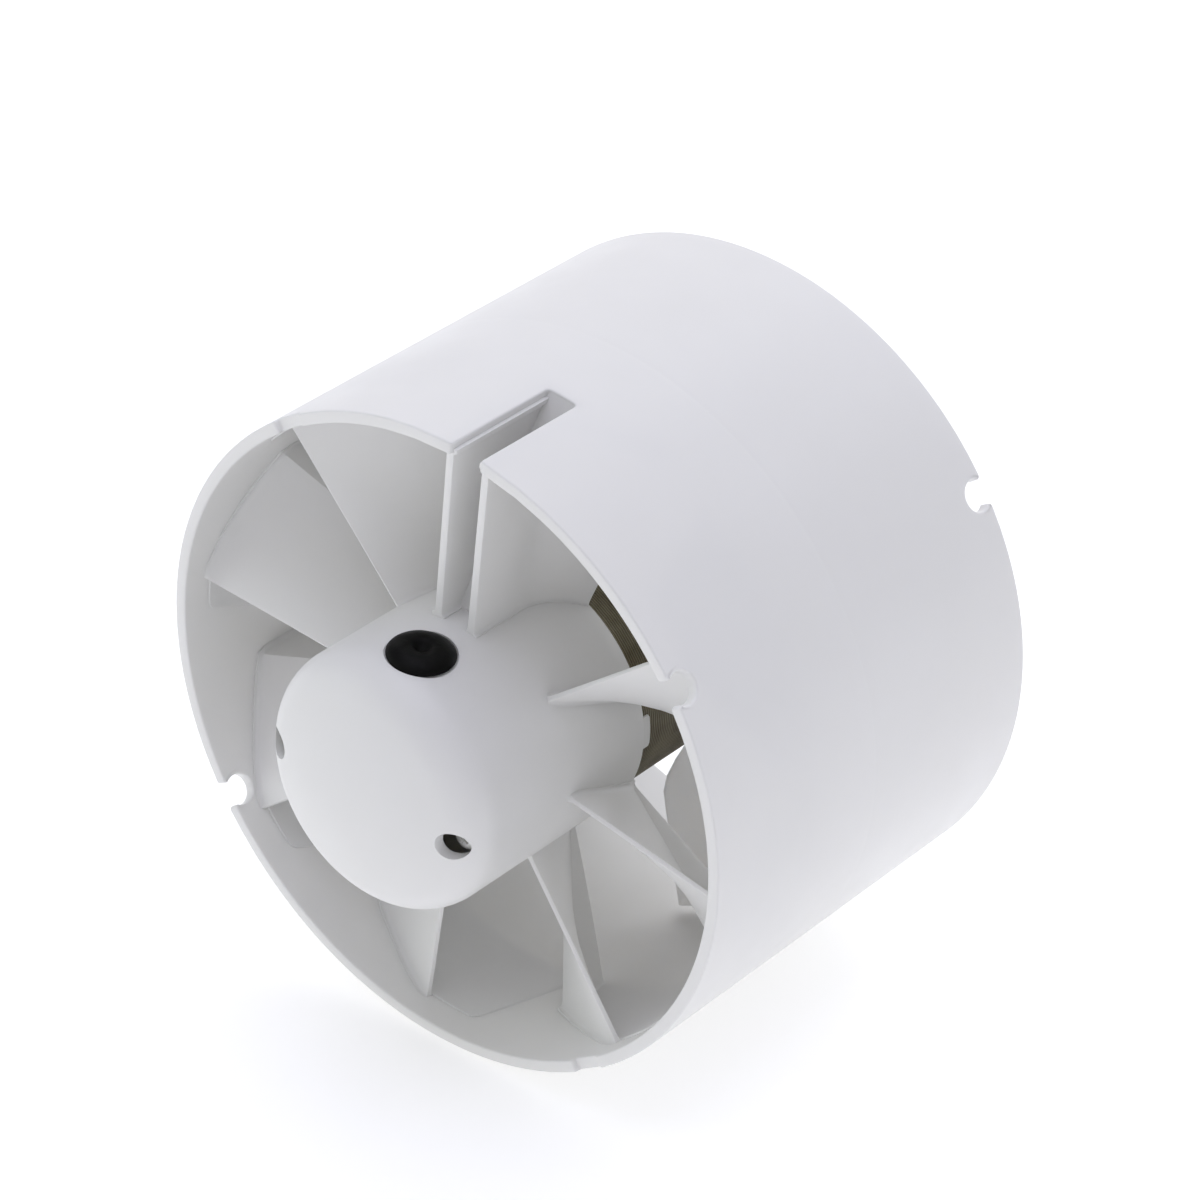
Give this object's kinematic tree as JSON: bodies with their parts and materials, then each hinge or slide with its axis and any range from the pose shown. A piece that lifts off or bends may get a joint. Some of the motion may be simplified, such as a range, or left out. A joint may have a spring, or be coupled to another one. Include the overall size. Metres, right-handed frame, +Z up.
{
  "type": "inline duct extractor fan",
  "caption": "Inline axial extractor fan for a round duct: white tube with swept guide vanes, domed motor barrel, cable channel with grommet, and an impeller at the inlet.",
  "frame": {"origin": "on the duct axis, at the middle of the tube's length", "axes": "+Y along the duct axis from the domed outlet end to the impeller at the inlet end, +Z up with the cable slot near the top, +X to the right seen from the outlet"},
  "size_m": [0.125, 0.1069, 0.125],
  "materials": {
    "white_abs": "white ABS, satin",
    "white_impeller_abs": "white ABS, satin",
    "black_rubber": "matt black rubber",
    "zinc_steel": "zinc plated",
    "galvanised_steel": "galvanised sheet",
    "lamination_steel": "varnished electrical steel sheets",
    "sintered_bronze": "oiled sintered bronze",
    "nylon": "natural nylon",
    "enamelled_copper": "enamelled copper wire",
    "ground_steel": "ground steel",
    "cast_aluminium": "die cast",
    "red_fibre": "vulcanised fibre",
    "spring_steel": "blued spring steel",
    "brass": "brass",
    "blue_pvc": "PVC insulation",
    "brown_pvc": "PVC insulation"
  },
  "bodies": {
    "casing": {"duct_casing": "white_abs", "cable_grommet": "black_rubber", "housing_screw_right": "zinc_steel", "housing_screw_left": "zinc_steel", "front_bracket": "galvanised_steel", "rear_bracket": "galvanised_steel", "front_bearing": "sintered_bronze", "rear_bearing": "sintered_bronze", "stator_laminations": "lamination_steel", "coil_bobbin_right": "nylon", "coil_bobbin_left": "nylon", "coil_winding_right": "enamelled_copper", "coil_winding_left": "enamelled_copper", "bolt_spacer_front_upper": "galvanised_steel", "bolt_spacer_front_lower": "galvanised_steel", "bolt_spacer_rear_upper": "galvanised_steel", "bolt_spacer_rear_lower": "galvanised_steel", "motor_bolt_upper": "zinc_steel", "motor_bolt_lower": "zinc_steel", "motor_nut_upper": "zinc_steel", "motor_nut_lower": "zinc_steel", "terminal_block": "nylon", "terminal_screw_1": "brass", "terminal_screw_2": "brass", "thermal_fuse": "cast_aluminium", "coil_lead_blue": "blue_pvc", "coil_lead_brown": "brown_pvc"},
    "rotor": {"rotor_shaft": "ground_steel", "rotor_core": "lamination_steel", "rotor_cage": "cast_aluminium", "thrust_washer_front": "red_fibre", "thrust_washer_rear": "red_fibre", "impeller": "white_impeller_abs", "impeller_clip": "spring_steel"}
  },
  "joints": [
    {"name": "impeller_spin", "type": "hinge", "parent": "casing", "child": "rotor", "pos_m": [0, 0, 0], "axis": [0, 1, 0], "continuous": true}
  ]
}
